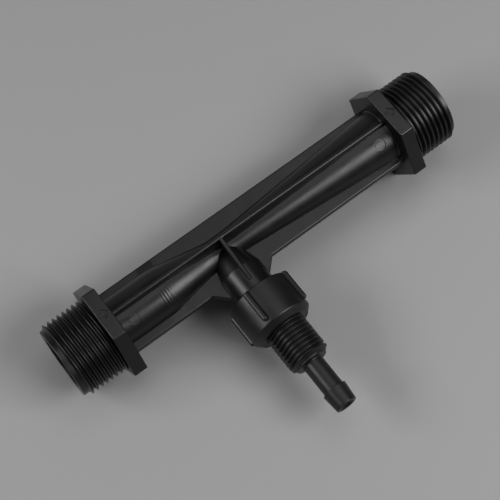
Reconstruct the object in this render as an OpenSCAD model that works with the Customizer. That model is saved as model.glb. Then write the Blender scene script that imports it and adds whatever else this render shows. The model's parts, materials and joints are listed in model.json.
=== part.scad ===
// Venturi fertilizer injector: a length of pipe with a narrow throat, which draws liquid in
// through a side stub. A screw-on cap on the stub holds a sprung ball valve and a hose barb.
// The origin is the centre of the inlet mouth. +X is the way of the flow, -Y the suction side, +Z up.

/* [Pipe ends] */
// Crest diameter of the pipe thread
thread_od = 26.44; // [24:0.02:29]
// Pitch of the pipe thread
thread_pitch = 1.814; // [1.2:0.001:2.4]
// Depth of the pipe thread
thread_depth = 1.16; // [0.6:0.02:1.4]
// Length of each threaded end, from its mouth to its hexagon
thread_len = 15.8; // [10:0.1:24]
// Plain lead-in between a mouth and its thread
thread_lead = 0.75; // [0.4:0.05:2]
// Chamfer on the rim of a mouth
mouth_chamfer = 0.4; // [0.1:0.05:0.4]
// Width of the hexagons across their flats
hex_af = 30; // [28:0.5:38]
// Thickness of the hexagons
hex_t = 4.8; // [3.5:0.1:10]
// Diameter of the straight bore in each mouth
port_d = 18; // [15:0.1:20]
// Length of the taper, inside each hexagon, from that bore to the tube
port_taper = 3; // [1:0.1:8]

/* [Venturi] */
// Distance between the two hexagons
span = 106.4; // [90:0.1:140]
// Distance from the inlet hexagon to the suction axis
throat_pos = 41.2; // [36:0.1:50]
// Outside diameter of the inlet tube
inlet_d = 17.4; // [15:0.1:20]
// Length of the inlet tube before it narrows
inlet_len = 16.2; // [8:0.1:22]
// Outside diameter of the outlet cone at its hexagon
outlet_d = 19.8; // [16:0.1:21]
// Bore diameter of the throat
throat_d = 6; // [4:0.1:7]
// Length of the throat
throat_len = 6.2; // [4:0.1:10]
// Wall of the tube, the throat and both cones
wall = 2.1; // [1.4:0.1:3]

/* [Ribs] */
// Reach of the ribs and webs from the flow axis
rib_reach = 11.4; // [10.8:0.1:13.5]
// Thickness of the upright ribs
rib_t = 1.4; // [1:0.1:3]
// Thickness of the flat webs
web_t = 2.4; // [1.4:0.1:4]

/* [Suction stub] */
// Diameter of the stub and of the thread on its neck
stub_d = 14.8; // [14:0.1:16.5]
// Diameter of the stub's cone at the flow axis
stub_root_d = 9; // [7:0.1:11]
// Distance from the flow axis to the end of that cone
stub_cone = 10.3; // [8:0.1:13]
// Half width of the gussets where they leave the web
gusset_w = 11.6; // [9:0.1:16]
// Distance from the flow axis to the tips of the gussets
gusset_len = 16; // [14.2:0.1:18.5]
// Thickness of the slanting ribs on the stub
stub_rib_t = 1.3; // [0.8:0.1:3]
// Distance from the flow axis to the end of the slanting ribs
stub_rib_len = 15.2; // [13.5:0.1:18.5]
// Length of the neck inside the cap
neck_len = 9.4; // [7:0.1:11]
// Plain length at each end of the neck's thread
neck_lead = 0.8; // [0.3:0.1:2]
// Pitch of the neck's thread
neck_pitch = 1.8; // [1.2:0.1:2.4]
// Depth of the neck's thread
neck_depth = 0.8; // [0.4:0.05:1]
// Diameter of the suction bore into the throat
suction_d = 3.5; // [2:0.1:5]
// Diameter of the valve chamber
chamber_d = 9; // [8.4:0.1:9.2]
// Distance from the flow axis to the floor of the valve chamber
chamber_pos = 14; // [11:0.1:15]

/* [Suction cap] */
// Distance from the flow axis to the rim of the cap
cap_pos = 19.2; // [18.8:0.1:22]
// Diameter of the collar
cap_d = 21.5; // [19.5:0.1:26]
// Length of the collar, from its rim to the nose
cap_len = 14.2; // [13.6:0.1:18]
// Radius of the rounded shoulder
cap_round = 2.8; // [0.5:0.1:3]
// Number of grip ribs
grip_count = 4; // [3:1:8]
// Width of the grip ribs
grip_w = 2; // [1:0.1:3]
// Height of the grip ribs above the collar
grip_h = 1.3; // [0.5:0.05:2]
// Length of the grip ribs, from the rim
grip_len = 10.4; // [5:0.1:10.8]
// Slope at the far end of the grip ribs
grip_slope = 0.8; // [0.2:0.1:2]
// Turn of the grip ribs about the suction axis
grip_turn = 25.5; // [0:0.5:90]
// Crest diameter of the nose thread
nose_od = 14; // [12.5:0.1:15]
// Pitch of the nose thread
nose_pitch = 1.5; // [1:0.05:2]
// Depth of the nose thread
nose_depth = 0.92; // [0.4:0.02:1.1]
// Length of the nose
nose_len = 13.6; // [8:0.1:20]
// Plain length at each end of the nose thread
nose_lead = 0.75; // [0.3:0.05:2]
// Diameter of the hose stem
stem_d = 7; // [6:0.1:8]
// Length of the hose stem, from the nose to the barb
stem_len = 11; // [6:0.1:20]
// Largest diameter of the barb
barb_d = 8.3; // [8:0.1:10]
// Length of the barb
barb_len = 6.2; // [3:0.1:9]
// Diameter of the barb at its tip
tip_d = 7.2; // [5.5:0.1:7.8]
// Bore diameter of the cap and the hose stem
cap_bore_d = 4; // [2.5:0.1:4.4]

/* [Check valve] */
// Diameter of the ball
ball_d = 7; // [6.6:0.1:7.4]
// Diameter of the conical seat at the floor of the cap
seat_d = 8; // [7:0.1:8.6]
// Thickness of the seal ring as clamped
seal_t = 1.8; // [1.2:0.1:2]
// Wire diameter of the spring
wire_d = 0.5; // [0.3:0.05:0.7]
// Mean diameter of the spring
spring_d = 5.1; // [4:0.1:5.8]
// Turns of the spring
spring_turns = 7; // [4:1:9]

/* [Fits] */
// Radial gap between the threads of the neck and the cap
thread_gap = 0.12; // [0.05:0.01:0.25]
// Gap at the seats of the ball, the spring and the seal ring
seat_gap = 0.03; // [0.01:0.01:0.1]

/* [Hidden] */

$fn = 96;
black_plastic = [0.07, 0.07, 0.075];
black_rubber = [0.03, 0.03, 0.03];
ball_white = [0.85, 0.85, 0.82];
spring_steel = [0.72, 0.72, 0.7];

// Cutters run this far past the faces that they open
past = 1;
// Ribs are rooted this far below the skin that they stand on
root_sink = 0.2;
// Share of a pitch that is flat at each crest and at each root
flat_share = 1 / 6;
// Steps in the quarter round of the cap's shoulder
round_steps = 8;

// Places along the flow axis
inlet_hex = thread_len;
inlet_face = inlet_hex + hex_t;
outlet_face = inlet_face + span;
total_len = outlet_face + inlet_face;
suction_x = inlet_face + throat_pos;
cone_start = inlet_face + inlet_len;
throat_start = suction_x - throat_len / 2;
throat_end = suction_x + throat_len / 2;

// Radii along the flow axis
thread_crest_r = thread_od / 2;
thread_root_r = thread_crest_r - thread_depth;
throat_wall_r = throat_d / 2 + wall;

// Places along the suction axis, as distances from the flow axis
neck_end = cap_pos + neck_len;
cap_floor = neck_end + seal_t + 2 * seat_gap;
cap_end = cap_pos + cap_len;
nose_end = cap_end + nose_len;
barb_pos = nose_end + stem_len;
tip_pos = barb_pos + barb_len;
seat_end = cap_floor + (seat_d - cap_bore_d) / 2;

// Radii about the suction axis
stub_r = stub_d / 2;
neck_root_r = stub_r - neck_depth;
cap_r = cap_d / 2;
nose_crest_r = nose_od / 2;
nose_root_r = nose_crest_r - nose_depth;
seal_r = (chamber_d / 2 + neck_root_r) / 2;

// The ball lies on a cone of 45 degrees, and the spring's end coil lies on the ball
ball_pos = cap_floor + seat_d / 2 - (ball_d / 2 + seat_gap) * sqrt(2);
coil_reach = (ball_d + wire_d) / 2 + seat_gap;
spring_start = chamber_pos + wire_d / 2 + seat_gap;
spring_end = ball_pos - sqrt(coil_reach ^ 2 - (spring_d / 2) ^ 2);

// Spring: a turn at each end lies almost flat, the others share the rest of its length
end_turns = 1;
end_rise = 1.2 * wire_d;
wire_sides = 8;
turn_steps = 24;

// Outline of one thread ridge, as radius and place, about the middle of its crest
function ridge(middle, pitch, root_r, crest_r) =
    let (foot = pitch * (1 - flat_share) / 2, flat = pitch * flat_share / 2)
    [[root_r, middle - foot], [crest_r, middle - flat], [crest_r, middle + flat], [root_r, middle + foot]];

// Outline of as many ridges as fit between two places
function ridges(from, to, pitch, root_r, crest_r) =
    [for (i = [0 : 1 : floor((to - from) / pitch) - 1])
        each ridge(from + (i + 0.5) * pitch, pitch, root_r, crest_r)];

// Distance from the axis of a round piece at which a rib of this thickness lies wholly below its skin
function rib_foot(skin_r, thickness) = sqrt(skin_r ^ 2 - (thickness / 2) ^ 2) - root_sink;

// Rise of the spring's wire after a number of turns
function spring_rise(turns) =
    let (
        open_turns = spring_turns - 2 * end_turns,
        open_pitch = (spring_end - spring_start - 2 * end_turns * end_rise) / open_turns,
        low = min(turns, end_turns),
        middle = max(0, min(turns - end_turns, open_turns)),
        high = max(0, turns - end_turns - open_turns)
    )
    end_rise * (low + high) + open_pitch * middle;

// Lays what is drawn about Z along the flow axis
module along_flow() {
    rotate([0, 90, 0])
        children();
}

// Lays what is drawn about Z along the suction axis, away from the flow axis
module along_suction() {
    translate([suction_x, 0, 0])
        rotate([90, 0, 0])
            children();
}

// One pipe end: thread and hexagon, with two of the hexagon's flats level
module pipe_end() {
    along_flow() {
        rotate_extrude()
            polygon(concat(
                [[0, 0], [thread_root_r - mouth_chamfer, 0], [thread_root_r, mouth_chamfer]],
                ridges(thread_lead, thread_len, thread_pitch, thread_root_r, thread_crest_r),
                [[thread_root_r, inlet_face - hex_t / 2], [0, inlet_face - hex_t / 2]]
            ));
        translate([0, 0, inlet_hex])
            rotate([0, 0, 30])
                cylinder(r = hex_af / 2 / cos(30), h = hex_t, $fn = 6);
    }
}

// Outside of the tube: inlet, narrowing cone, throat and long outlet cone
module tube() {
    hex_sink = hex_t / 2;
    flare = (outlet_d / 2 - throat_wall_r) / (outlet_face - throat_end);
    along_flow()
        rotate_extrude()
            polygon([
                [0, inlet_face - hex_sink],
                [inlet_d / 2, inlet_face - hex_sink],
                [inlet_d / 2, cone_start],
                [throat_wall_r, throat_start],
                [throat_wall_r, throat_end],
                [outlet_d / 2 + flare * hex_sink, outlet_face + hex_sink],
                [0, outlet_face + hex_sink]
            ]);
}

// Way of the water: straight mouths, nozzle, throat and diffuser
module flow_bore() {
    port_r = port_d / 2;
    port_len = inlet_face - port_taper;
    along_flow()
        rotate_extrude()
            polygon([
                [0, -past],
                [port_r, -past],
                [port_r, port_len],
                [inlet_d / 2 - wall, inlet_face],
                [inlet_d / 2 - wall, cone_start],
                [throat_d / 2, throat_start],
                [throat_d / 2, throat_end],
                [outlet_d / 2 - wall, outlet_face],
                [port_r, total_len - port_len],
                [port_r, total_len + past],
                [0, total_len + past]
            ]);
}

// Upright ribs above and below the tube
module upright_ribs() {
    translate([inlet_face - hex_t / 2, -rib_t / 2, -rib_reach])
        cube([span + hex_t, rib_t, 2 * rib_reach]);
}

// Flat webs on both sides of the tube, with the gussets that run out to the stub
module flat_webs() {
    left = inlet_face - hex_t / 2;
    right = outlet_face + hex_t / 2;
    tip = rib_foot(stub_r, web_t);
    translate([0, 0, -web_t / 2])
        linear_extrude(web_t)
            polygon([
                [left, rib_reach],
                [left, -rib_reach],
                [suction_x - gusset_w, -rib_reach],
                [suction_x - tip, -gusset_len],
                [suction_x + tip, -gusset_len],
                [suction_x + gusset_w, -rib_reach],
                [right, -rib_reach],
                [right, rib_reach]
            ]);
}

// Slanting ribs from the upright ribs down onto the stub
module stub_ribs() {
    tip = rib_foot(stub_r, stub_rib_t);
    translate([suction_x - stub_rib_t / 2, 0, 0])
        rotate([90, 0, 90])
            linear_extrude(stub_rib_t)
                polygon([
                    [0, rib_reach],
                    [-rib_t / 2, rib_reach],
                    [-stub_rib_len, tip],
                    [-stub_rib_len, -tip],
                    [-rib_t / 2, -rib_reach],
                    [0, -rib_reach]
                ]);
}

// Suction stub with its cone and the threaded neck for the cap
module stub() {
    along_suction()
        rotate_extrude()
            polygon(concat(
                [[0, 0], [stub_root_d / 2, 0], [stub_r, stub_cone], [stub_r, cap_pos]],
                ridges(cap_pos + neck_lead, neck_end - neck_lead, neck_pitch, neck_root_r, stub_r),
                [[neck_root_r, neck_end], [0, neck_end]]
            ));
}

// Suction bore into the throat, and the valve chamber in the stub
module suction_bore() {
    along_suction() {
        cylinder(d = suction_d, h = chamber_pos + past);
        translate([0, 0, chamber_pos])
            cylinder(d = chamber_d, h = neck_end - chamber_pos + past);
    }
}

// The body is one moulding
module venturi_body() {
    color(black_plastic)
        difference() {
            union() {
                pipe_end();
                translate([total_len, 0, 0])
                    mirror([1, 0, 0])
                        pipe_end();
                tube();
                upright_ribs();
                flat_webs();
                stub();
                stub_ribs();
            }
            flow_bore();
            suction_bore();
        }
}

// Section of the cap: collar, rounded shoulder, threaded nose, hose stem and barb,
// then back through the bore and the valve seat to the screw thread inside the collar
module cap_section() {
    socket_r = stub_r + thread_gap;
    ridge_r = neck_root_r + thread_gap;
    thread_inside = ridges(cap_pos + neck_lead, neck_end - neck_lead, neck_pitch, ridge_r, socket_r);
    polygon(concat(
        [[socket_r, cap_pos], [cap_r, cap_pos]],
        [for (i = [0 : round_steps])
            let (a = 90 * i / round_steps)
            [cap_r - cap_round * (1 - cos(a)), cap_end - cap_round * (1 - sin(a))]],
        [[nose_root_r, cap_end]],
        ridges(cap_end + nose_lead, nose_end - nose_lead, nose_pitch, nose_root_r, nose_crest_r),
        [[nose_root_r, nose_end], [stem_d / 2, nose_end]],
        [[stem_d / 2, barb_pos], [barb_d / 2, barb_pos], [tip_d / 2, tip_pos]],
        [[cap_bore_d / 2, tip_pos], [cap_bore_d / 2, seat_end], [seat_d / 2, cap_floor]],
        [[ridge_r, cap_floor]],
        [for (i = [len(thread_inside) - 1 : -1 : 0]) thread_inside[i]]
    ));
}

// One grip rib, on the side of the collar that lies along X
module grip_rib() {
    foot_r = rib_foot(cap_r, grip_w);
    translate([0, grip_w / 2, 0])
        rotate([90, 0, 0])
            linear_extrude(grip_w)
                polygon([
                    [foot_r, cap_pos],
                    [cap_r + grip_h, cap_pos],
                    [cap_r + grip_h, cap_pos + grip_len - grip_slope],
                    [cap_r, cap_pos + grip_len],
                    [foot_r, cap_pos + grip_len]
                ]);
}

// The cap is one moulding
module suction_cap() {
    color(black_plastic)
        along_suction() {
            rotate_extrude()
                cap_section();
            for (i = [0 : grip_count - 1])
                rotate([0, 0, grip_turn + i * 360 / grip_count])
                    grip_rib();
        }
}

// Seal ring between the end of the neck and the floor of the cap
module seal_ring() {
    color(black_rubber)
        along_suction()
            translate([0, 0, neck_end + seat_gap + seal_t / 2])
                rotate_extrude()
                    translate([seal_r, 0])
                        circle(d = seal_t, $fn = 32);
}

// Ball of the check valve, on its seat in the cap
module check_ball() {
    color(ball_white)
        along_suction()
            translate([0, 0, ball_pos])
                sphere(d = ball_d);
}

// Spring between the chamber's floor and the ball
module check_spring() {
    steps = spring_turns * turn_steps;
    points = [for (i = [0 : steps], k = [0 : wire_sides - 1])
        let (
            turns = i / turn_steps,
            side = 360 * k / wire_sides,
            r = (spring_d + wire_d * cos(side)) / 2
        )
        [
            r * cos(360 * turns),
            r * sin(360 * turns),
            spring_start + spring_rise(turns) + wire_d / 2 * sin(side)
        ]];
    walls = [for (i = [0 : steps - 1], k = [0 : wire_sides - 1])
        let (next = (k + 1) % wire_sides)
        [i * wire_sides + k, i * wire_sides + next, (i + 1) * wire_sides + next, (i + 1) * wire_sides + k]];
    first_end = [for (k = [wire_sides - 1 : -1 : 0]) k];
    last_end = [for (k = [0 : wire_sides - 1]) steps * wire_sides + k];
    color(spring_steel)
        along_suction()
            polyhedron(points, concat([first_end], walls, [last_end]));
}

venturi_body();
suction_cap();
seal_ring();
check_ball();
check_spring();
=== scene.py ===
# %% [markdown]
# # Venturi fertilizer injector
#
# A venturi injector is a short pipe with a narrow throat. Water that rushes through the throat
# drops in pressure and draws liquid fertilizer in through a side stub. Everything that shows is
# black moulded plastic: a ribbed body, and a cap screwed onto its stub.
#
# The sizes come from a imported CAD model. It could be shown as it is, but its threads are plain
# rings and its edges are knife sharp. So each moulding is modelled again here, on the same axes,
# with helical threads, fillets and rounded edges.

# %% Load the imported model
import json
import math

import bmesh
import bpy
from mathutils import Matrix, Vector

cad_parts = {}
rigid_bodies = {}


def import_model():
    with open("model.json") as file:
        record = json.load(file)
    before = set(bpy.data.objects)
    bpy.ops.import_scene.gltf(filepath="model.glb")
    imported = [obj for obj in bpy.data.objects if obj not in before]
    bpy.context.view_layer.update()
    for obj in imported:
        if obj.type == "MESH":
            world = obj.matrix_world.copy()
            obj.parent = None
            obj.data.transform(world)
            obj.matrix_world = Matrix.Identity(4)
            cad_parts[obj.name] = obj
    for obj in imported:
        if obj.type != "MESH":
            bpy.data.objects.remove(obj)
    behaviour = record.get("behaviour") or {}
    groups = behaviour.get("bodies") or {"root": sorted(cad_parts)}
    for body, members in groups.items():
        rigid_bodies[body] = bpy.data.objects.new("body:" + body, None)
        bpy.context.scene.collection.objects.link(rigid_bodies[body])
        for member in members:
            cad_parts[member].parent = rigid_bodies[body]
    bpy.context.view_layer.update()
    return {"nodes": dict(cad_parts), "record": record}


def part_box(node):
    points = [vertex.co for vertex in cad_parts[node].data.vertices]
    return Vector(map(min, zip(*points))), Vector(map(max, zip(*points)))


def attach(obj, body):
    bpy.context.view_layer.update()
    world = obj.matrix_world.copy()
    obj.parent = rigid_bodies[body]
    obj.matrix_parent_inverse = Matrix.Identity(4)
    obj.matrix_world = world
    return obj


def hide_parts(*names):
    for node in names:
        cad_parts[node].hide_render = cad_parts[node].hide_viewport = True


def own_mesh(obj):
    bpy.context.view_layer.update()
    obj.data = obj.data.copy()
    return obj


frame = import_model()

# %% [markdown]
# ## Driving sizes
#
# Blender works in metres, but a hand-sized fitting is easier to think of in millimetres, and
# Booleans are safer on numbers near one. So every piece is made in millimetres and scaled to
# metres once, when it is finished. Sizes that the model states are read from it.

# %% Sizes from the model, in millimetres
MM = 0.001
mounts = {mount["name"]: mount for mount in frame["record"]["mounts"]}
body_low, body_high = (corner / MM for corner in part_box("venturi_body"))
cap_low, cap_high = (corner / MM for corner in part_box("suction_cap"))

total_len = body_high.x
hex_af = body_high.z - body_low.z
suction_x = mounts["hose_barb"]["pos_m"][0] / MM
thread_crest_r = mounts["inlet_thread"]["dims"]["r_mm"]
thread_len = mounts["inlet_thread"]["dims"]["length_mm"]
port_r = mounts["inlet_bore"]["dims"]["r_mm"]
nose_crest_r = mounts["hose_nut_thread"]["dims"]["r_mm"]

hex_t = 4.8
inlet_face = thread_len + hex_t
outlet_face = total_len - inlet_face
print(f"length {total_len:.1f} mm, hexagon {hex_af:.1f} mm, suction axis at {suction_x:.1f} mm")

# %% [markdown]
# ## Camera
#
# The part lies on its hexagons and is seen from above its suction side. The camera is placed by
# its position, the point it looks at and a small roll, which is how a photographer would note it.

# %% Camera
camera_at = Vector((-19.4, -150.0, 421.9))
camera_looks_at = Vector((69.0, -5.4, 0.0))
camera_roll = math.radians(-5.9)
camera_lens = 102.8
camera_near = 10.0

camera = bpy.data.objects.new("camera", bpy.data.cameras.new("camera"))
bpy.context.scene.collection.objects.link(camera)
bpy.context.scene.camera = camera
view_line = (camera_looks_at - camera_at).to_track_quat("-Z", "Y").to_matrix().to_4x4()
camera.matrix_world = (
    Matrix.Translation(camera_at * MM) @ view_line @ Matrix.Rotation(camera_roll, 4, "Z")
)
camera.data.lens = camera_lens
camera.data.clip_start = camera_near * MM
print(f"camera {(camera_looks_at - camera_at).length:.0f} mm from the part")

# %% [markdown]
# ## Turned shapes
#
# Most of the part is round: tubes, cones, a collar, a barb. A lathe is the natural tool, so an
# outline is drawn as a chain of edges and spun once round the Z axis. A corner of the outline can
# carry a radius, which turns it into an arc; no bevel is needed afterwards.

# %% Outlines and the lathe
LATHE_STEPS = 96
BEVEL_STEPS = 3
WELD = 0.0005


def rounded(corners, steps=4):
    """Outline through corners (x, y, radius): a corner with a radius becomes an arc."""
    outline = []
    for i, (x, y, radius) in enumerate(corners):
        here = Vector((x, y))
        if radius == 0:
            outline.append(here)
            continue
        back = (Vector(corners[i - 1][:2]) - here).normalized()
        ahead = (Vector(corners[(i + 1) % len(corners)][:2]) - here).normalized()
        half = back.angle(ahead) / 2
        centre = here + (back + ahead).normalized() * (radius / math.sin(half))
        reach = radius / math.tan(half)
        first = here + back * reach - centre
        last = here + ahead * reach - centre
        turns = [first.slerp(last, k / steps).normalized() for k in range(steps + 1)]
        outline += [centre + turn * radius for turn in turns]
    return outline


def closed_up(bm):
    """Welds seams and poles, then turns all faces outwards."""
    bmesh.ops.remove_doubles(bm, verts=bm.verts[:], dist=WELD)
    bmesh.ops.recalc_face_normals(bm, faces=bm.faces[:])
    return bm


def lathe(outline, ring=False):
    """Solid spun about Z from (radius, height) points; a ring's outline closes on itself."""
    bm = bmesh.new()
    chain = [bm.verts.new((radius, 0, height)) for radius, height in outline]
    if ring:
        chain.append(chain[0])
    for a, b in zip(chain, chain[1:]):
        bm.edges.new((a, b))
    bmesh.ops.spin(bm, geom=bm.verts[:] + bm.edges[:], cent=(0, 0, 0), axis=(0, 0, 1),
                   angle=math.tau, steps=LATHE_STEPS, use_merge=True)
    return closed_up(bm)


def pull_up(bm, thickness):
    """Pulls a flat face up along Z into a prism."""
    grown = bmesh.ops.extrude_face_region(bm, geom=bm.faces[:])["geom"]
    moved = [v for v in grown if isinstance(v, bmesh.types.BMVert)]
    bmesh.ops.translate(bm, verts=moved, vec=(0, 0, thickness))
    bmesh.ops.recalc_face_normals(bm, faces=bm.faces[:])


def soften(bm, edges, radius):
    """Rounds these edges off."""
    bmesh.ops.bevel(bm, geom=edges, offset=radius, segments=BEVEL_STEPS, profile=0.5,
                    affect="EDGES", material=-1)


def plate(outline, thickness, edge):
    """Flat piece with this outline in XY, and a round of radius edge on both its rims."""
    bm = bmesh.new()
    bm.faces.new([bm.verts.new((x, y, 0)) for x, y in outline])
    pull_up(bm, thickness)
    rims = [e for e in bm.edges if abs(e.verts[0].co.z - e.verts[1].co.z) < WELD]
    soften(bm, rims, edge)
    return bm


print("lathe steps:", LATHE_STEPS)

# %% [markdown]
# ## Joining shapes
#
# A moulding is one skin. Shapes that merely overlap would leave walls inside each other, so they
# are joined with exact Booleans, one at a time, and each tool is thrown away once it is used.
# Turned shapes are laid along the flow axis (X) or the suction axis (-Y) with a matrix.

# %% Objects, places and Booleans
RIGHT_ANGLE = math.pi / 2
ALONG_FLOW = Matrix.Rotation(RIGHT_ANGLE, 4, "Y")
FROM_OUTLET = Matrix.Translation((total_len, 0, 0)) @ Matrix.Rotation(math.pi, 4, "Z") @ ALONG_FLOW
ALONG_SUCTION = Matrix.Translation((suction_x, 0, 0)) @ Matrix.Rotation(RIGHT_ANGLE, 4, "X")


def solid(bm, name, place=Matrix()):
    """Object with this mesh, moved to its place in the part."""
    bmesh.ops.transform(bm, matrix=place, verts=bm.verts[:])
    mesh = bpy.data.meshes.new(name)
    bm.to_mesh(mesh)
    bm.free()
    made = bpy.data.objects.new(name, mesh)
    bpy.context.scene.collection.objects.link(made)
    return made


def apply_modifiers(piece):
    """Makes what a piece's modifiers show its own mesh."""
    shown = piece.evaluated_get(bpy.context.evaluated_depsgraph_get())
    result = bpy.data.meshes.new_from_object(shown)
    piece.modifiers.clear()
    piece.data = result


def combine(base, tool, operation):
    """Joins the tool to the base, or cuts it out of the base."""
    step = base.modifiers.new(operation, "BOOLEAN")
    step.operation = operation
    step.solver = "EXACT"
    step.object = tool
    apply_modifiers(base)
    bpy.data.objects.remove(tool)
    return base


print("suction axis:", tuple(round(v, 1) for v in ALONG_SUCTION.translation))

# %% [markdown]
# ## Threads
#
# A screw thread is one ridge wound round a core. It could be a texture, but the crests break the
# outline, so it is geometry: the ridge's section is one face, and spin carries it round and along
# at once. At both ends the ridge sinks into the core, as a moulded thread runs out.

# %% Helical ridges
THREAD_STEPS = 72
FLAT_SHARE = 1 / 6
RIDGE_SINK = 0.15
RUN_OUT_TURNS = 0.1
RUN_OUT_SINK = 0.08
CREST_ROUND_SHARE = 0.132


def ridge_halves(pitch):
    """Half the width of a ridge at its foot, and at its crest."""
    return pitch * (1 - FLAT_SHARE) / 2, pitch * FLAT_SHARE / 2


def thread_ridge(crest_r, root_r, pitch, first, last, lowest):
    """Right-handed ridge about Z.

    Its middle climbs from first to last, and no part of it lies under lowest.
    """
    crest_round = pitch * CREST_ROUND_SHARE
    foot, flat = ridge_halves(pitch)
    wide = foot + (foot - flat) * RIDGE_SINK / (crest_r - root_r)
    profile = rounded([
        (root_r - RIDGE_SINK, -wide, 0),
        (crest_r, -flat, crest_round),
        (crest_r, flat, crest_round),
        (root_r - RIDGE_SINK, wide, 0),
    ])
    turns = (last - first) / pitch
    steps = round(THREAD_STEPS * turns)
    bm = bmesh.new()
    face = bm.faces.new([bm.verts.new((r, 0, first + z)) for r, z in profile])
    bmesh.ops.spin(bm, geom=[face] + face.verts[:] + face.edges[:], cent=(0, 0, 0), axis=(0, 0, 1),
                   dvec=(0, 0, (last - first) / steps), angle=math.tau * turns, steps=steps)
    for v in bm.verts:
        turned = math.atan2(v.co.y, v.co.x) / math.tau % 1
        wound = turned + round((v.co.z - first) / pitch - turned)
        rise = max(0, min(1, wound / RUN_OUT_TURNS, (turns - wound) / RUN_OUT_TURNS))
        radius = math.hypot(v.co.x, v.co.y)
        if radius > root_r:
            lowered = root_r + (radius - root_r) * rise - RUN_OUT_SINK * (1 - rise)
            v.co.x *= lowered / radius
            v.co.y *= lowered / radius
        v.co.z = max(v.co.z, lowest)
    bmesh.ops.recalc_face_normals(bm, faces=bm.faces[:])
    return bm


print(f"thread resolution: {360 / THREAD_STEPS:.0f} degrees a step")

# %% [markdown]
# ## Ribbed tube
#
# Between the hexagons the body is a tube that narrows and widens, with four lengthwise ribs: two
# upright ones and two flat webs. The corners between tube and ribs are filleted. A Boolean of a
# tube and four boards would leave sharp corners, so the tube is lofted: one closed section is
# drawn at each station along the flow, and neighbouring sections are bridged.

# %% Form of the tube along the flow
inlet_r = 8.7
throat_wall_r = 5.1
outlet_r = 9.9
inlet_tube_len = 18.2
throat_half = 3.1
cone_start = inlet_face + inlet_tube_len
throat_start = suction_x - throat_half
throat_end = suction_x + throat_half
nozzle_slope = (throat_wall_r - inlet_r) / (throat_start - cone_start)
diffuser_slope = (outlet_r - throat_wall_r) / (outlet_face - throat_end)
CONE_BLEND = 1.6
ripple_mid = 38.6
ripple_half = 2.9
ripple_pitch = 1.0
ripple_height = 0.03


def ripple(x):
    """Faint rings that the cutter left in the mould where the nozzle begins."""
    away = (x - ripple_mid) / ripple_half
    if abs(away) >= 1:
        return 0
    return ripple_height * (1 - away ** 2) * math.cos(math.tau * (x - ripple_mid) / ripple_pitch)


def bend(distance):
    """Ramp that starts at 0, with a soft corner of twice the blend's length."""
    if abs(distance) >= CONE_BLEND:
        return max(0, distance)
    return (distance + CONE_BLEND) ** 2 / (4 * CONE_BLEND)


def tube_radius(x):
    """Outside radius of the tube at this place along the flow."""
    return (inlet_r + nozzle_slope * (bend(x - cone_start) - bend(x - throat_start))
            + diffuser_slope * bend(x - throat_end) + ripple(x))


rib_reach = 11.4
gusset_w = 11.6
gusset_tip = 7.1
gusset_len = 16.0


def near_reach(x):
    """Reach of the web on the suction side, which grows into a gusset on each side of the stub."""
    share = (gusset_w - abs(x - suction_x)) / (gusset_w - gusset_tip)
    return rib_reach + (gusset_len - rib_reach) * max(0, min(1, share))


print("tube radius at inlet, throat and outlet:",
      [round(tube_radius(x), 2) for x in (inlet_face, suction_x, outlet_face)])

# %% [markdown]
# The section is drawn a quarter at a time, from the edge of a web to the top of an upright rib.
# Each fillet is an arc that touches the tube and the side of a rib, so its centre lies on a circle
# round the tube and on a line beside the rib. The upright ribs have a little draft, which lets
# the moulding leave its mould.

# %% Section of the tube
web_half = 1.2
rib_half = 0.65
rib_draft = 0.035
corner_fillet = 0.12
web_edge = 0.6
rib_edge = 0.6
EDGE_STEPS = 4
FILLET_STEPS = 5
TUBE_STEPS = 16


def arc(centre, radius, start, stop, steps):
    """Points on an arc between two angles in radians, without its first point."""
    angles = [start + (stop - start) * k / steps for k in range(1, steps + 1)]
    return [centre + Vector((math.cos(a), math.sin(a))) * radius for a in angles]


def quarter(radius, reach, swell):
    """Quarter section from the web's edge to the rib's top; swell thickens the tube."""
    tube_r = radius + swell
    web_side = web_half + corner_fillet
    web_centre = Vector((math.sqrt((tube_r + corner_fillet) ** 2 - web_side ** 2), web_side))
    aside = Vector((1, rib_draft)).normalized()
    down = Vector((rib_draft, -1)).normalized()
    beside = Vector((rib_half, rib_reach)) + aside * corner_fillet
    inward = beside.dot(down)
    drop = -inward - math.sqrt(inward ** 2 - beside.length_squared + (tube_r + corner_fillet) ** 2)
    rib_centre = beside + down * drop
    web_angle = math.atan2(web_centre.y, web_centre.x)
    rib_angle = math.atan2(rib_centre.y, rib_centre.x)
    side_angle = math.atan2(aside.y, aside.x)
    points = [Vector((reach, 0)), Vector((reach, web_half - web_edge))]
    edge_centre = Vector((reach - web_edge, web_half - web_edge))
    points += arc(edge_centre, web_edge, 0, RIGHT_ANGLE, EDGE_STEPS)
    points.append(Vector((web_centre.x, web_half)))
    points += arc(web_centre, corner_fillet, -RIGHT_ANGLE, web_angle - math.pi, FILLET_STEPS)
    points += arc(Vector((0, 0)), tube_r, web_angle, rib_angle, TUBE_STEPS)
    points += arc(rib_centre, corner_fillet, rib_angle - math.pi, side_angle - math.pi,
                  FILLET_STEPS)
    edge_centre = Vector((rib_half - rib_edge, rib_reach - rib_edge))
    points.append(edge_centre + Vector((rib_edge + rib_edge * rib_draft, 0)))
    points += arc(edge_centre, rib_edge, 0, RIGHT_ANGLE, EDGE_STEPS)
    return points + [Vector((0, rib_reach))]


def section(x, swell):
    """Whole section at x, as points (x, y, z), starting on the far web's edge."""
    far = quarter(tube_radius(x), rib_reach, swell)
    near = quarter(tube_radius(x), near_reach(x), swell)
    upper = [(p.x, p.y) for p in far] + [(-p.x, p.y) for p in reversed(near[:-1])]
    lower = [(y, -z) for y, z in reversed(upper[1:-1])]
    return [(x, y, z) for y, z in upper + lower]


print("points in a section:", len(section(suction_x, 0)))

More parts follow.
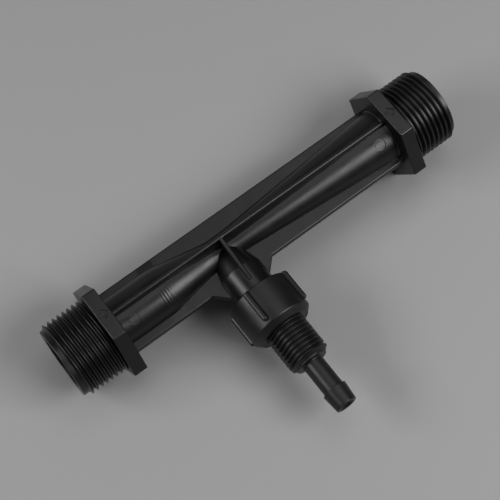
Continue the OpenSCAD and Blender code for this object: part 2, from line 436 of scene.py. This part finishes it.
# %% [markdown]
# Stations lie close together where the form changes quickly: at the fillets against the hexagons,
# at the soft corners of the cones, at the corners of the gussets and along the ripple. The two
# outermost lie inside the hexagons, so that no two faces fall in one plane when they are joined.

# %% Loft the ribbed tube
HEX_FILLET = 0.45
LOFT_SINK = 1
STATION_GAP = 2.0
BLEND_STATIONS = 4
RIPPLE_STATIONS = 48
FILLET_STATIONS = (0.02, 0.07, 0.15, 0.27, 0.42, 0.6, 0.8, 1.0)


def hex_swell(x):
    """Growth of the tube's radius close to a hexagon, as a quarter-round fillet."""
    gap = max(0, min(x - inlet_face, outlet_face - x))
    if gap >= HEX_FILLET:
        return 0
    return HEX_FILLET - math.sqrt(HEX_FILLET ** 2 - (HEX_FILLET - gap) ** 2)


stations = {inlet_face - LOFT_SINK, outlet_face + LOFT_SINK}
for share in FILLET_STATIONS:
    stations |= {inlet_face + share * HEX_FILLET, outlet_face - share * HEX_FILLET}
inner_len = outlet_face - inlet_face - 2 * HEX_FILLET
for k in range(1, int(inner_len / STATION_GAP)):
    stations.add(inlet_face + HEX_FILLET + k * STATION_GAP)
for corner in (cone_start, throat_start, throat_end):
    stations |= {corner + CONE_BLEND * k / BLEND_STATIONS
                 for k in range(-BLEND_STATIONS, BLEND_STATIONS + 1)}
for side in (-1, 1):
    stations |= {suction_x + side * gusset_w, suction_x + side * gusset_tip}
for k in range(RIPPLE_STATIONS + 1):
    stations.add(ripple_mid + ripple_half * (2 * k / RIPPLE_STATIONS - 1))
stations = sorted({round(x, 3) for x in stations})

loft = bmesh.new()
previous = None
for x in stations:
    corners = [loft.verts.new(point) for point in section(x, hex_swell(x))]
    edges = [loft.edges.new(pair) for pair in zip(corners, corners[1:] + corners[:1])]
    if previous:
        bmesh.ops.bridge_loops(loft, edges=previous + edges)
    previous = edges
bmesh.ops.holes_fill(loft, edges=[e for e in loft.edges if e.is_boundary], sides=0)
bmesh.ops.recalc_face_normals(loft, faces=loft.faces[:])
venturi_moulding = solid(loft, "venturi_moulding")
print("ribbed tube:", len(stations), "stations,", len(venturi_moulding.data.polygons), "faces")

# %% [markdown]
# ## Pipe ends
#
# Each end has a parallel pipe thread and a hexagon for a spanner. The thread's core is turned,
# its ridge is wound, and the hexagon is a six-sided circle pulled up to its thickness. The outlet
# end is the inlet end turned half round, so both threads stay right-handed.

# %% Pipe ends
thread_pitch = 1.814
thread_depth = 1.16
thread_root_r = thread_crest_r - thread_depth
inlet_thread_first = 1.32
outlet_thread_first = 1.2
thread_last = 16.5
mouth_gap = 0.05
mouth_edge = 0.2
hex_edge = 0.38


def hexagon():
    """Hexagonal prism about Z with softly rounded edges."""
    bm = bmesh.new()
    corner_r = hex_af / 2 / math.cos(math.pi / 6)
    bmesh.ops.create_circle(bm, cap_ends=True, segments=6, radius=corner_r)
    pull_up(bm, hex_t)
    soften(bm, bm.edges[:], hex_edge)
    return bm


def pipe_end(name, place, thread_first):
    """Threaded end with its hexagon, its mouth at the origin before it is placed."""
    core_end = thread_len + hex_t / 2
    core = lathe(rounded([
        (0, 0, 0),
        (thread_root_r, 0, mouth_edge),
        (thread_root_r, core_end, 0),
        (0, core_end, 0),
    ]))
    end = solid(core, name, place)
    ridge = thread_ridge(thread_crest_r, thread_root_r, thread_pitch, thread_first, thread_last,
                         mouth_gap)
    combine(end, solid(ridge, "pipe_thread", place), "UNION")
    collar = solid(hexagon(), "hexagon", place @ Matrix.Translation((0, 0, thread_len)))
    return combine(end, collar, "UNION")


for end in (("inlet_end", ALONG_FLOW, inlet_thread_first),
            ("outlet_end", FROM_OUTLET, outlet_thread_first)):
    combine(venturi_moulding, pipe_end(*end), "UNION")
print("body with pipe ends:", len(venturi_moulding.data.polygons), "faces")

# %% [markdown]
# ## Suction stub
#
# The stub grows out of the throat as a cone, runs on as a short cylinder and ends in a threaded
# neck inside the cap. A thin rib slants from each upright rib down onto it. The neck's thread is
# hidden by the cap, so it stays a row of turned rings.

# %% Suction stub and its slanting ribs
stub_r = 7.4
stub_root_r = 4.5
stub_cone = 10.3
stub_bend = 1.5
cap_rim = -cap_high.y
neck_len = 9.4
neck_depth = 0.8
neck_pitch = 1.8
neck_lead = 0.8
neck_end = cap_rim + neck_len
neck_root_r = stub_r - neck_depth
stub_rib_t = 1.3
stub_rib_len = 15.8
stub_rib_tip = 7.9
stub_rib_edge = 0.5
stub_rib_tuck = 0.03


def rings(first, last, pitch, root_r, crest_r):
    """Outline of hidden thread rings, as (radius, height, round) corners."""
    count = int((last - first) / pitch + WELD)
    foot, flat = ridge_halves(pitch)
    corners = []
    for k in range(count):
        middle = first + (k + 0.5) * pitch
        corners += [(root_r, middle - foot, 0), (crest_r, middle - flat, 0),
                    (crest_r, middle + flat, 0), (root_r, middle + foot, 0)]
    return corners


stub = lathe(rounded([
    (0, 0, 0),
    (stub_root_r, 0, 0),
    (stub_r, stub_cone, stub_bend),
    (stub_r, cap_rim, 0),
    *rings(cap_rim + neck_lead, neck_end - neck_lead, neck_pitch, neck_root_r, stub_r),
    (neck_root_r, neck_end, 0),
    (0, neck_end, 0),
]))
combine(venturi_moulding, solid(stub, "stub", ALONG_SUCTION), "UNION")

rib_top = rib_reach - stub_rib_tuck
slanting_rib = plate([
    (0, rib_top),
    (stub_rib_len, stub_rib_tip),
    (stub_rib_len, -stub_rib_tip),
    (0, -rib_top),
], stub_rib_t, stub_rib_edge)
across_stub = Matrix.Translation((suction_x + stub_rib_t / 2, 0, 0)) @ Matrix((
    (0, 0, -1, 0),
    (-1, 0, 0, 0),
    (0, 1, 0, 0),
    (0, 0, 0, 1),
))
combine(venturi_moulding, solid(slanting_rib, "slanting_rib", across_stub), "UNION")
print("body with stub:", len(venturi_moulding.data.polygons), "faces")

# %% [markdown]
# ## Marks of the mould
#
# Ejector pins leave round marks on the tube near each hexagon: a fine ring groove shows where the
# metal of the mould met the metal of the pin. The upper flats of the hexagons carry a sunk arrow
# that gives the way of the flow, as many fittings do.

# %% Pin marks and flow arrows
pin_r = 1.65
pin_angle = math.radians(30.4)
pin_gap = 4.9
groove_w = 0.22
groove_depth = 0.34
arrow_len = 3.8
arrow_head = 2.0
arrow_half = 1.9
arrow_bar = 0.55
arrow_depth = 0.45
arrow_edge = 0.24
PAST = 1.0

for x in (inlet_face + pin_gap, outlet_face - pin_gap):
    outward = Matrix.Rotation(pin_angle, 4, "X") @ Matrix.Translation((0, 0, tube_radius(x)))
    spot = Matrix.Translation((x, 0, 0)) @ outward
    groove = lathe([(pin_r, -groove_depth), (pin_r + groove_w, -groove_depth),
                    (pin_r + groove_w, PAST), (pin_r, PAST)], ring=True)
    combine(venturi_moulding, solid(groove, "pin_groove", spot), "DIFFERENCE")

arrow_end = arrow_len / 2
arrow_neck = arrow_end - arrow_head
arrow = [(-arrow_end, -arrow_bar), (arrow_neck, -arrow_bar), (arrow_neck, -arrow_half),
         (arrow_end, 0),
         (arrow_neck, arrow_half), (arrow_neck, arrow_bar), (-arrow_end, arrow_bar)]
for x in (thread_len + hex_t / 2, outlet_face + hex_t / 2):
    stamp = plate(arrow, 2 * arrow_depth, arrow_edge)
    spot = Matrix.Translation((x, 0, hex_af / 2 - arrow_depth))
    combine(venturi_moulding, solid(stamp, "flow_arrow", spot), "DIFFERENCE")
print("body with marks:", len(venturi_moulding.data.polygons), "faces")

# %% [markdown]
# ## Bores
#
# The way of the water is cut last, so that it runs clean through every joint: straight mouths, a
# nozzle, the throat and a long diffuser. The suction bore meets it in the throat and opens into
# the chamber of the check valve.

# %% Cut the bores
wall = 2.1
throat_r = throat_wall_r - wall
port_taper = 3.0
bore_straight = 16.2
mouth_round = 0.35
MOUTH_LIP = 0.1
chamber_r = 4.5
chamber_floor = 14.0
suction_r = 1.75

flare_r = port_r + mouth_round + 2 * MOUTH_LIP
mouth_flare = [(flare_r, -MOUTH_LIP), (port_r + MOUTH_LIP, MOUTH_LIP), (port_r, mouth_round)]
flow_outline = [(0, -PAST), (flare_r, -PAST)] + mouth_flare + [
    (port_r, inlet_face - port_taper),
    (inlet_r - wall, inlet_face),
    (inlet_r - wall, inlet_face + bore_straight),
    (throat_r, throat_start),
    (throat_r, throat_end),
    (outlet_r - wall, outlet_face),
    (port_r, outlet_face + port_taper),
] + [(r, total_len - x) for r, x in reversed(mouth_flare)] + [
    (flare_r, total_len + PAST),
    (0, total_len + PAST),
]
suction_outline = [
    (0, 0), (suction_r, 0), (suction_r, chamber_floor), (chamber_r, chamber_floor),
    (chamber_r, neck_end + PAST), (0, neck_end + PAST),
]
for name, outline, place in (("flow_bore", flow_outline, ALONG_FLOW),
                             ("suction_bore", suction_outline, ALONG_SUCTION)):
    combine(venturi_moulding, solid(lathe(outline), name, place), "DIFFERENCE")
print("finished body:", len(venturi_moulding.data.polygons), "faces")

# %% [markdown]
# ## Suction cap
#
# The cap is a second moulding: a collar with grip ribs, a bevelled shoulder, a threaded nose and a
# barb for the hose. It is one turned ring with a hole through it, and the ribs and the nose's
# thread are joined on.

# %% Turn the cap
thread_gap = 0.12
cap_r = 10.75
cap_len = 14.2
rim_round = 0.35
rim_inner_round = 0.25
shoulder = 1.9
shoulder_round = 0.8
shoulder_foot = 0.4
seal_space = 1.86
seat_r = 4.0
cap_end = cap_rim + cap_len
cap_floor = neck_end + seal_space

nose_len = 13.6
nose_depth = 0.92
nose_lead = 0.94
nose_lead_drop = 0.58
nose_lead_round = 0.2
nose_fillet = 0.35
nose_root_r = nose_crest_r - nose_depth
nose_lead_r = nose_root_r - nose_lead_drop
nose_end = cap_end + nose_len

stem_r = 3.5
stem_len = 11.0
barb_r = 4.15
barb_round = 0.12
barb_pos = nose_end + stem_len
tip_r = 3.6
tip_round = 0.4
tip_sink = 0.7
tip_edge = 0.1
tip_pos = -cap_low.y
hose_bore_r = 2.0
CAP_ROUND_STEPS = 6

socket_r = stub_r + thread_gap
socket_root_r = neck_root_r + thread_gap
socket = rings(cap_rim + neck_lead, neck_end - neck_lead, neck_pitch, socket_root_r, socket_r)
cap_outline = rounded([
    (socket_r, cap_rim, rim_inner_round),
    (cap_r, cap_rim, rim_round),
    (cap_r, cap_end - shoulder, shoulder_round),
    (cap_r - shoulder, cap_end, shoulder_foot),
    (nose_root_r, cap_end, nose_fillet),
    (nose_root_r, nose_end - nose_lead, 0),
    (nose_lead_r, nose_end - nose_lead / 2, nose_lead_round),
    (nose_lead_r, nose_end, nose_lead_round),
    (stem_r, nose_end, nose_fillet),
    (stem_r, barb_pos, 0),
    (barb_r, barb_pos, barb_round),
    (tip_r, tip_pos, tip_round),
    (hose_bore_r + tip_sink, tip_pos, tip_edge),
    (hose_bore_r, tip_pos - tip_sink, 0),
    (hose_bore_r, cap_floor + seat_r - hose_bore_r, 0),
    (seat_r, cap_floor, 0),
    (socket_root_r, cap_floor, 0),
    *reversed(socket),
], steps=CAP_ROUND_STEPS)
cap_moulding = solid(lathe(cap_outline, ring=True), "cap_moulding", ALONG_SUCTION)
print("cap's outline:", len(cap_outline), "points")

# %% [markdown]
# The grip ribs are short bars with a round far end. Each is a plate whose outline is drawn in a
# plane beside the collar, sunk a little into the collar and turned to its place.

# %% Grip ribs
grip_count = 4
grip_half = 1.0
grip_start = 0.06
grip_len = 11.2
grip_turn = math.radians(25.5)
grip_height = 1.3
grip_sink = 1.4
grip_edge = 0.8
grip_round = 0.9 * grip_half
grip_foot = cap_r - grip_sink

for k in range(grip_count):
    grip = plate(rounded([
        (-grip_half, grip_start, 0),
        (grip_half, grip_start, 0),
        (grip_half, grip_len, grip_round),
        (-grip_half, grip_len, grip_round),
    ]), cap_r + grip_height - grip_foot, grip_edge)
    stand = Matrix(((0, 0, 1, grip_foot), (1, 0, 0, 0), (0, 1, 0, cap_rim), (0, 0, 0, 1)))
    turn = Matrix.Rotation(grip_turn + k * math.tau / grip_count, 4, "Z")
    combine(cap_moulding, solid(grip, "grip_rib", ALONG_SUCTION @ turn @ stand), "UNION")
print("cap with grips:", len(cap_moulding.data.polygons), "faces")

# %% [markdown]
# The nose's thread is wound as the pipe threads are, and its free end is chamfered by a turned
# cutter. Where the halves of the mould met, on the left and right, a flat strip fills the grooves,
# so that the moulding could leave the mould.

# %% Nose thread
nose_pitch = 1.5
nose_thread_sink = 0.2
nose_thread_stop = 0.75
CHAMFER_REACH = 1.0
CHAMFER_CLEAR = 0.02
seam_in = 5.0
seam_drop = 0.3
seam_w = 3.6
seam_len = 11.0
seam_sink = 0.5

nose_ridge = thread_ridge(nose_crest_r, nose_root_r, nose_pitch, cap_end - nose_thread_sink,
                          nose_end - nose_thread_stop, cap_floor + PAST)
nose_thread = solid(nose_ridge, "nose_thread", ALONG_SUCTION)
chamfer_start = nose_end - nose_lead - CHAMFER_CLEAR
chamfer_near = nose_root_r - PAST
chamfer_far = nose_root_r + 2 * CHAMFER_REACH
chamfer = lathe([(chamfer_near, chamfer_start), (nose_root_r, chamfer_start),
                 (chamfer_far, chamfer_start - CHAMFER_REACH), (chamfer_far, nose_end + PAST),
                 (chamfer_near, nose_end + PAST)], ring=True)
combine(nose_thread, solid(chamfer, "nose_chamfer", ALONG_SUCTION), "DIFFERENCE")
combine(cap_moulding, nose_thread, "UNION")

seam_out = nose_crest_r - seam_drop
seam_middle = cap_end - seam_sink + seam_len / 2
for side in (-1, 1):
    seam = bmesh.new()
    bmesh.ops.create_cube(seam, size=1)
    bmesh.ops.scale(seam, vec=(seam_out - seam_in, seam_w, seam_len), verts=seam.verts[:])
    bmesh.ops.translate(seam, vec=(side * (seam_in + seam_out) / 2, 0, seam_middle),
                        verts=seam.verts[:])
    combine(cap_moulding, solid(seam, "nose_seam", ALONG_SUCTION), "UNION")
print("finished cap:", len(cap_moulding.data.polygons), "faces")

# %% [markdown]
# ## Valve spring
#
# A light spring holds the ball on its seat. Its wire is a small circle, spun three times in a row:
# one nearly flat turn, five open turns and one nearly flat turn. The real spring shortens when the
# ball lifts; here it is wound at one length.

# %% Wind the spring
wire_r = 0.25
coil_r = 2.55
coil_lift = 0.28
spring_start = chamber_floor + coil_lift
spring_end = 26.68
flat_rise = 0.6
open_turns = 5
COIL_STEPS = 40
WIRE_SIDES = 10

spring_wire = bmesh.new()
bmesh.ops.create_circle(spring_wire, cap_ends=True, segments=WIRE_SIDES, radius=wire_r)
upright = Matrix.Translation((coil_r, 0, spring_start)) @ Matrix.Rotation(RIGHT_ANGLE, 4, "X")
bmesh.ops.transform(spring_wire, matrix=upright, verts=spring_wire.verts[:])
open_rise = (spring_end - spring_start - 2 * flat_rise) / open_turns
moving = spring_wire.verts[:] + spring_wire.edges[:] + spring_wire.faces[:]
for turns, rise in ((1, flat_rise), (open_turns, open_rise), (1, flat_rise)):
    wound = bmesh.ops.spin(spring_wire, geom=moving, cent=(0, 0, 0), axis=(0, 0, 1),
                           dvec=(0, 0, rise / COIL_STEPS), angle=math.tau * turns,
                           steps=turns * COIL_STEPS)
    moving = wound["geom_last"]
bmesh.ops.recalc_face_normals(spring_wire, faces=spring_wire.faces[:])
valve_spring = solid(spring_wire, "valve_spring", ALONG_SUCTION)
print("spring:", len(valve_spring.data.polygons), "faces")

# %% [markdown]
# ## Valve ball
#
# The ball is moulded in two halves and tumbled smooth, which leaves a narrow flat band where the
# halves met. A half circle is spun into the ball, and the band is where that half circle is cut
# short.

# %% Turn the ball
ball_low, ball_high = (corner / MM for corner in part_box("check_ball"))
ball_r = (ball_high.y - ball_low.y) / 2
ball_pos = -(ball_high.y + ball_low.y) / 2
ball_band = 0.02
BALL_STEPS = 40

half_circle = [Vector((0, ball_pos - ball_r))]
half_circle += arc(Vector((0, ball_pos)), ball_r, -RIGHT_ANGLE, RIGHT_ANGLE, BALL_STEPS)
ball_outline = [(min(point.x, ball_r - ball_band), point.y) for point in half_circle]
ball_moulding = solid(lathe(ball_outline), "ball_moulding", ALONG_SUCTION)
print(f"ball: radius {ball_r:.2f} mm at {ball_pos:.2f} mm along the suction axis")

# %% [markdown]
# ## Finishing the pieces
#
# Slivers that the Booleans left are dissolved. Each piece is scaled to metres in its mesh, shaded
# smooth, and given sharp edges where its faces meet at more than about a third of a right angle.
# Normals weighted by area keep large flats flat beside their small rounds. Then the piece takes
# the place of its CAD node and rides on that node's body.

# %% Finish and place the pieces
SHARP = math.radians(33)
SLIVER = 0.0001


def finish_piece(piece, node, body):
    """Cleans a piece, scales it to metres and hands it to the frame."""
    bm = bmesh.new()
    bm.from_mesh(piece.data)
    closed_up(bm)
    bmesh.ops.dissolve_degenerate(bm, dist=SLIVER, edges=bm.edges[:])
    bm.to_mesh(piece.data)
    bm.free()
    piece.data.transform(Matrix.Scale(MM, 4))
    for polygon in piece.data.polygons:
        polygon.use_smooth = True
    piece.data.set_sharp_from_angle(angle=SHARP)
    piece.modifiers.new("even_shading", "WEIGHTED_NORMAL").keep_sharp = True
    apply_modifiers(piece)
    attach(piece, body)
    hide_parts(node)
    print(piece.name, "stands for", node, "with", len(piece.data.polygons), "faces")


finish_piece(venturi_moulding, "venturi_body", "injector")
finish_piece(cap_moulding, "suction_cap", "injector")
finish_piece(valve_spring, "check_spring", "injector")
finish_piece(ball_moulding, "check_ball", "valve_ball")

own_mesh(valve_spring)

# %% [markdown]
# ## Finishes
#
# Moulded plastic is never quite even: it has a fine grain from the mould, cloudy patches where
# the gloss changes, and faint dust. These three come from noise on the object's own coordinates,
# in one node group that every finish uses with its own values.

# %% Surface group
USUAL_SCALES = {"Grain Scale": 5000, "Cloud Scale": 160, "Dust Scale": 900}
GRAIN_DETAIL = 2
CLOUD_DETAIL = 5
DUST_DETAIL = 6
DUST_ROUGHNESS = 0.7
DUST_FROM = 0.6
DUST_FULL = 0.78


def make_surface_group():
    """Node group: cloudiness, dust and grain that vary over a surface."""
    group = bpy.data.node_groups.new("moulded_surface", "ShaderNodeTree")
    for name, value in USUAL_SCALES.items():
        scale = group.interface.new_socket(name, in_out="INPUT", socket_type="NodeSocketFloat")
        scale.default_value = value
    for name in ("Clouds", "Dust", "Grain"):
        group.interface.new_socket(name, in_out="OUTPUT", socket_type="NodeSocketFloat")
    nodes, links = group.nodes, group.links
    inputs = nodes.new("NodeGroupInput")
    outputs = nodes.new("NodeGroupOutput")
    place = nodes.new("ShaderNodeTexCoord")
    for name, detail, output in (("Grain Scale", GRAIN_DETAIL, "Grain"),
                                 ("Cloud Scale", CLOUD_DETAIL, "Clouds")):
        noise = nodes.new("ShaderNodeTexNoise")
        noise.inputs["Detail"].default_value = detail
        links.new(place.outputs["Object"], noise.inputs["Vector"])
        links.new(inputs.outputs[name], noise.inputs["Scale"])
        links.new(noise.outputs["Fac"], outputs.inputs[output])
    specks = nodes.new("ShaderNodeTexNoise")
    specks.inputs["Detail"].default_value = DUST_DETAIL
    specks.inputs["Roughness"].default_value = DUST_ROUGHNESS
    links.new(place.outputs["Object"], specks.inputs["Vector"])
    links.new(inputs.outputs["Dust Scale"], specks.inputs["Scale"])
    sparse = nodes.new("ShaderNodeMapRange")
    sparse.inputs["From Min"].default_value = DUST_FROM
    sparse.inputs["From Max"].default_value = DUST_FULL
    links.new(specks.outputs["Fac"], sparse.inputs["Value"])
    links.new(sparse.outputs["Result"], outputs.inputs["Dust"])
    return group


moulded_surface = make_surface_group()
print("surface group:", [s.name for s in moulded_surface.interface.items_tree])

# %% [markdown]
# A finish mixes two shades by the clouds, lays dust over them, and lets the same clouds change the
# gloss, so that pale patches are also the duller ones. The grain is too fine to model, so it is a
# bump. The shader stays in the material, where the numbers that are the same all over are set.

# %% A finish made with the group
CLOUD_LOW = 0.3
CLOUD_HIGH = 0.7
GRAIN_STRENGTH = 0.35


def make_finish(name, dark, pale, dust_colour, dust, rough_low, rough_high, grain_height, **scales):
    """Material that follows the surface group; returns it and its shader."""
    material = bpy.data.materials.new(name)
    material.use_nodes = True
    nodes, links = material.node_tree.nodes, material.node_tree.links
    shader = nodes["Principled BSDF"]
    surface = nodes.new("ShaderNodeGroup")
    surface.node_tree = moulded_surface
    for socket, value in scales.items():
        surface.inputs[socket.replace("_", " ").title()].default_value = value
    tint = nodes.new("ShaderNodeMix")
    tint.data_type = "RGBA"
    tint.inputs["A"].default_value = (*dark, 1)
    tint.inputs["B"].default_value = (*pale, 1)
    links.new(surface.outputs["Clouds"], tint.inputs["Factor"])
    thin_dust = nodes.new("ShaderNodeMath")
    thin_dust.operation = "MULTIPLY"
    thin_dust.inputs[1].default_value = dust
    links.new(surface.outputs["Dust"], thin_dust.inputs[0])
    dusted = nodes.new("ShaderNodeMix")
    dusted.data_type = "RGBA"
    dusted.inputs["B"].default_value = (*dust_colour, 1)
    links.new(thin_dust.outputs["Value"], dusted.inputs["Factor"])
    links.new(tint.outputs["Result"], dusted.inputs["A"])
    links.new(dusted.outputs["Result"], shader.inputs["Base Color"])
    gloss = nodes.new("ShaderNodeMapRange")
    gloss.inputs["From Min"].default_value = CLOUD_LOW
    gloss.inputs["From Max"].default_value = CLOUD_HIGH
    gloss.inputs["To Min"].default_value = rough_low
    gloss.inputs["To Max"].default_value = rough_high
    links.new(surface.outputs["Clouds"], gloss.inputs["Value"])
    links.new(gloss.outputs["Result"], shader.inputs["Roughness"])
    relief = nodes.new("ShaderNodeBump")
    relief.inputs["Strength"].default_value = GRAIN_STRENGTH
    relief.inputs["Distance"].default_value = grain_height
    links.new(surface.outputs["Grain"], relief.inputs["Height"])
    links.new(relief.outputs["Normal"], shader.inputs["Normal"])
    return material, shader


print("a finish can set:", ", ".join(USUAL_SCALES))

# %% [markdown]
# The body and the cap are the same black plastic, and the cap is a little duller. The hidden
# pieces are dull rubber, off-white plastic and drawn wire.

# %% Finishes of the pieces
PLASTIC_IOR = 1.42
black_plastic = {"dark": (0.002, 0.002, 0.0021), "pale": (0.004, 0.004, 0.0041),
                 "dust_colour": (0.08, 0.08, 0.078), "grain_height": 0.00002}

body_finish, body_shader = make_finish(
    "black_moulded_plastic", dust=0.1, rough_low=0.28, rough_high=0.38, **black_plastic)
cap_finish, cap_shader = make_finish(
    "black_cap_plastic", dust=0.08, rough_low=0.36, rough_high=0.46, grain_scale=6000,
    **black_plastic)
seal_finish, _ = make_finish(
    "seal_rubber", dark=(0.01, 0.01, 0.01), pale=(0.02, 0.02, 0.02),
    dust_colour=(0.2, 0.2, 0.2), dust=0.1, rough_low=0.6, rough_high=0.75,
    grain_height=0.00003, grain_scale=9000)
ball_finish, _ = make_finish(
    "ball_plastic", dark=(0.74, 0.74, 0.7), pale=(0.82, 0.82, 0.79),
    dust_colour=(0.6, 0.58, 0.52), dust=0.1, rough_low=0.25, rough_high=0.35,
    grain_height=0.000005)
wire_finish, wire_shader = make_finish(
    "drawn_steel_wire", dark=(0.55, 0.55, 0.54), pale=(0.68, 0.68, 0.66),
    dust_colour=(0.3, 0.3, 0.3), dust=0.1, rough_low=0.22, rough_high=0.34,
    grain_height=0.000004, grain_scale=12000)
wire_shader.inputs["Metallic"].default_value = 1.0
for shader in (body_shader, cap_shader):
    shader.inputs["IOR"].default_value = PLASTIC_IOR

for piece, finish in ((venturi_moulding, body_finish), (cap_moulding, cap_finish),
                      (valve_spring, wire_finish), (ball_moulding, ball_finish),
                      (frame["nodes"]["seal_ring"], seal_finish)):
    piece.data.materials.clear()
    piece.data.materials.append(finish)
    print(piece.name, "is finished in", finish.name)

# %% [markdown]
# ## Floor and light
#
# The part lies on a plain pale floor under soft studio light. A softbox in front and to the right
# draws the long highlights on the tube and the thread crests, and a strip on the far left lights
# the stub and throws the shadow forward. A wide panel overhead gives the flats their grey, a weak
# fill lifts the far side, and a dim surround leaves the rest dark.

# %% Floor
floor_half = 1.5
floor_grey = 0.27
floor_roughness = 0.8

floor_bm = bmesh.new()
bmesh.ops.create_grid(floor_bm, x_segments=1, y_segments=1, size=floor_half)
bmesh.ops.translate(floor_bm, verts=floor_bm.verts[:], vec=(0, 0, body_low.z * MM))
floor = solid(floor_bm, "floor")
floor_paint = bpy.data.materials.new("pale_floor")
floor_paint.use_nodes = True
floor_shader = floor_paint.node_tree.nodes["Principled BSDF"]
floor_shader.inputs["Base Color"].default_value = (floor_grey, floor_grey, floor_grey, 1)
floor_shader.inputs["Roughness"].default_value = floor_roughness
floor.data.materials.append(floor_paint)
print("floor at", round(body_low.z, 2), "mm")

# %% Light
surround_grey = 0.08
part_middle = Vector((0.07, -0.01, 0))


def softbox(name, towards, distance, width, height, radiance):
    """Area light in a direction from the part, turned towards it."""
    direction = Vector(towards).normalized()
    light = bpy.data.lights.new(name, "AREA")
    light.shape = "RECTANGLE"
    light.size = width
    light.size_y = height
    light.energy = radiance * math.pi * width * height
    lamp = bpy.data.objects.new(name, light)
    lamp.location = part_middle + direction * distance
    lamp.rotation_euler = direction.to_track_quat("Z", "Y").to_euler()
    bpy.context.scene.collection.objects.link(lamp)


softbox("right_softbox", towards=(0.42, -0.58, 0.7), distance=0.7,
        width=0.45, height=0.32, radiance=9)
softbox("left_strip", towards=(-0.73, 0.34, 0.59), distance=0.7,
        width=0.45, height=0.22, radiance=8.8)
softbox("overhead_panel", towards=(0.2, 0.12, 0.97), distance=1.3,
        width=0.8, height=1.2, radiance=1.4)
softbox("far_fill", towards=(0.2, 0.95, 0.3), distance=1.2,
        width=1.6, height=0.6, radiance=0.25)

surround = bpy.data.worlds.new("surround")
surround.use_nodes = True
sky = surround.node_tree.nodes["Background"]
sky.inputs["Color"].default_value = (surround_grey, surround_grey, surround_grey, 1)
sky.inputs["Strength"].default_value = 1.0
bpy.context.scene.world = surround
bpy.context.scene.view_settings.view_transform = "Standard"
print("lights:", sorted(light.name for light in bpy.data.lights))
